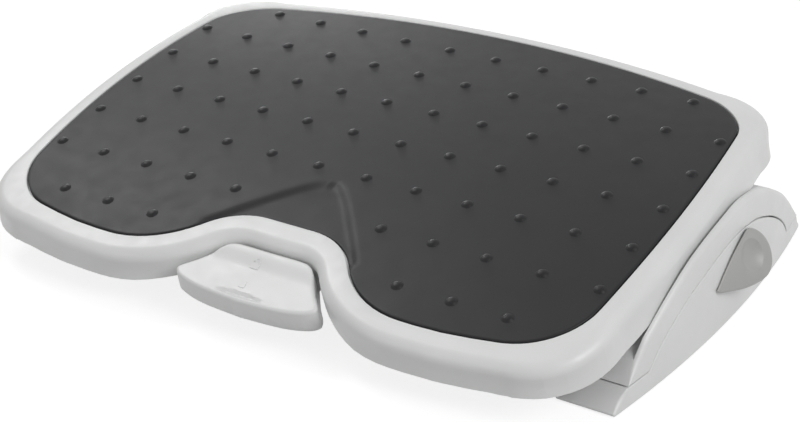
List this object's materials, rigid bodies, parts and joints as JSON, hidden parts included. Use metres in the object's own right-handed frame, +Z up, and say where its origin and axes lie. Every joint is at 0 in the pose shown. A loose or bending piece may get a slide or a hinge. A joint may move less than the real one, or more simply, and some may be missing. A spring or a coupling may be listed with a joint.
{
  "type": "tilting footrest",
  "caption": "Ergonomic under-desk footrest: crowned platform with a rubber mat and tilt-lock pedal, on side legs with height-clamp knobs.",
  "frame": {"origin": "on the floor, under the middle of the footrest's overall box", "axes": "+X to the user's right along the length, +Y away from the user, +Z up"},
  "size_m": [0.541, 0.3788, 0.1191],
  "materials": {
    "light_grey_abs": "fine moulded texture",
    "grey_abs": "satin",
    "white_nylon": "satin",
    "dark_rubber": "matt",
    "zinc_plated_steel": "satin"
  },
  "bodies": {
    "base": {"front_cross_tube": "zinc_plated_steel", "rear_cross_tube": "zinc_plated_steel", "left_leg": "light_grey_abs", "left_clamp_nut": "zinc_plated_steel", "left_front_pad": "dark_rubber", "left_rear_pad": "dark_rubber", "right_leg": "light_grey_abs", "right_clamp_nut": "zinc_plated_steel", "right_front_pad": "dark_rubber", "right_rear_pad": "dark_rubber"},
    "carriage": {"tilt_shaft": "zinc_plated_steel", "lock_quadrant": "zinc_plated_steel", "left_hood": "light_grey_abs", "right_hood": "light_grey_abs"},
    "platform": {"platform_frame": "light_grey_abs", "foot_mat": "dark_rubber", "underside_pan": "light_grey_abs", "mechanism_bracket": "zinc_plated_steel", "pedal_pin": "zinc_plated_steel", "pawl_pin": "zinc_plated_steel", "left_pivot_block": "light_grey_abs", "left_shaft_bush": "white_nylon", "right_pivot_block": "light_grey_abs", "right_shaft_bush": "white_nylon"},
    "pedal": {"foot_pedal": "light_grey_abs"},
    "rod": {"lock_rod": "zinc_plated_steel"},
    "pawl": {"lock_pawl": "zinc_plated_steel"},
    "left_dial": {"left_knob": "grey_abs", "left_knob_bolt": "zinc_plated_steel"},
    "right_dial": {"right_knob": "grey_abs", "right_knob_bolt": "zinc_plated_steel"}
  },
  "joints": [
    {"name": "lift", "type": "slide", "parent": "base", "child": "carriage", "axis": [0, 0, 1], "range_m": [0, 0.032]},
    {"name": "tilt", "type": "hinge", "parent": "carriage", "child": "platform", "pos_m": [0, 0.025, 0.07], "axis": [1, 0, 0], "range_deg": [-13.18, 3.5]},
    {"name": "pedal_press", "type": "hinge", "parent": "platform", "child": "pedal", "pos_m": [0, -0.11767, 0.03454], "axis": [1, 0, 0], "range_deg": [0, 4], "stiffness_Nm_per_rad": 8, "springref_deg": -1.15},
    {"name": "rod_pull", "type": "slide", "parent": "platform", "child": "rod", "axis": [0, 0.9737, 0.228], "range_m": [-0.0012, 0]},
    {"name": "pawl_swing", "type": "hinge", "parent": "platform", "child": "pawl", "pos_m": [0, -0.02126, 0.07457], "axis": [1, 0, 0], "range_deg": [-8, 0]},
    {"name": "left_dial_turn", "type": "hinge", "parent": "base", "child": "left_dial", "pos_m": [0, 0.032, 0.0445], "axis": [1, 0, 0], "range_deg": [0, 90]},
    {"name": "right_dial_turn", "type": "hinge", "parent": "base", "child": "right_dial", "pos_m": [0, 0.032, 0.0445], "axis": [1, 0, 0], "range_deg": [0, 90]}
  ],
  "couplings": [
    {"joint": "rod_pull", "follows": "pedal_press", "m_per_rad": -0.014},
    {"joint": "pawl_swing", "follows": "pedal_press", "ratio": -1.75}
  ]
}
